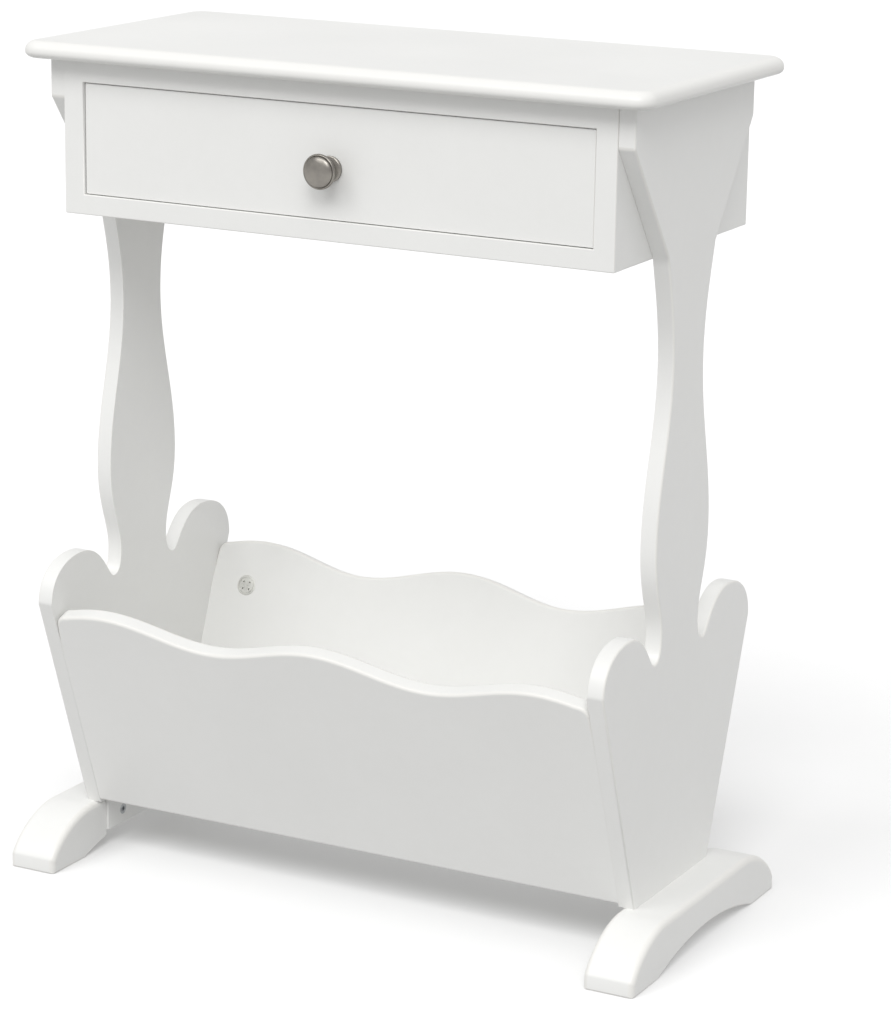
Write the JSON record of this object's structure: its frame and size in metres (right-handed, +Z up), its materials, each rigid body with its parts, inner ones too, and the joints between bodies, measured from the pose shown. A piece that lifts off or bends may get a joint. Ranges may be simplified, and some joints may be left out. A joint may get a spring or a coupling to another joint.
{
  "type": "side table",
  "caption": "Narrow side table with a drawer under its top and an open slant-sided magazine cradle between two shaped end panels on arched feet.",
  "frame": {"origin": "on the floor, at the middle of the table's bounding box", "axes": "+Z up, -Y towards the drawer front, +X to the right seen from the front"},
  "size_m": [0.499, 0.241, 0.6],
  "materials": {
    "painted_board": "satin white lacquer on medium-density fibreboard",
    "drawer_wood": "white foil on particle board",
    "bare_wood": "planed, unfinished softwood and beech",
    "hardboard": "white-faced hardboard, smooth",
    "satin_nickel": "satin nickel plate",
    "zinc_casting": "tumbled zinc die casting",
    "zinc_steel": "bright zinc-plated steel"
  },
  "bodies": {
    "table": {"top_board": "painted_board", "front_frame": "painted_board", "case_side_left": "painted_board", "case_side_right": "painted_board", "case_back": "painted_board", "case_floor": "hardboard", "drawer_runner_left": "bare_wood", "drawer_runner_right": "bare_wood", "drawer_kicker_left": "bare_wood", "drawer_kicker_right": "bare_wood", "drawer_stops": "bare_wood", "end_panel_left": "painted_board", "end_panel_right": "painted_board", "cradle_front_board": "painted_board", "cradle_back_board": "painted_board", "cradle_floor": "painted_board", "foot_left": "painted_board", "foot_right": "painted_board", "foot_bolts": "zinc_steel", "cradle_cam_locks": "zinc_casting", "cradle_cam_bolts": "zinc_steel", "cradle_dowels": "bare_wood", "floor_cam_locks": "zinc_casting", "floor_cam_bolts": "zinc_steel", "case_dowels": "bare_wood", "case_screws": "zinc_steel", "runner_screws": "zinc_steel", "top_screws": "zinc_steel"},
    "drawer": {"drawer_front": "painted_board", "drawer_side_left": "drawer_wood", "drawer_side_right": "drawer_wood", "drawer_back": "drawer_wood", "drawer_bottom": "hardboard", "drawer_dowels": "bare_wood", "drawer_screws": "zinc_steel", "drawer_knob": "satin_nickel", "knob_screw": "zinc_steel"}
  },
  "joints": [
    {"name": "drawer_slide", "type": "slide", "parent": "table", "child": "drawer", "axis": [0, -1, 0], "range_m": [0, 0.15]}
  ]
}
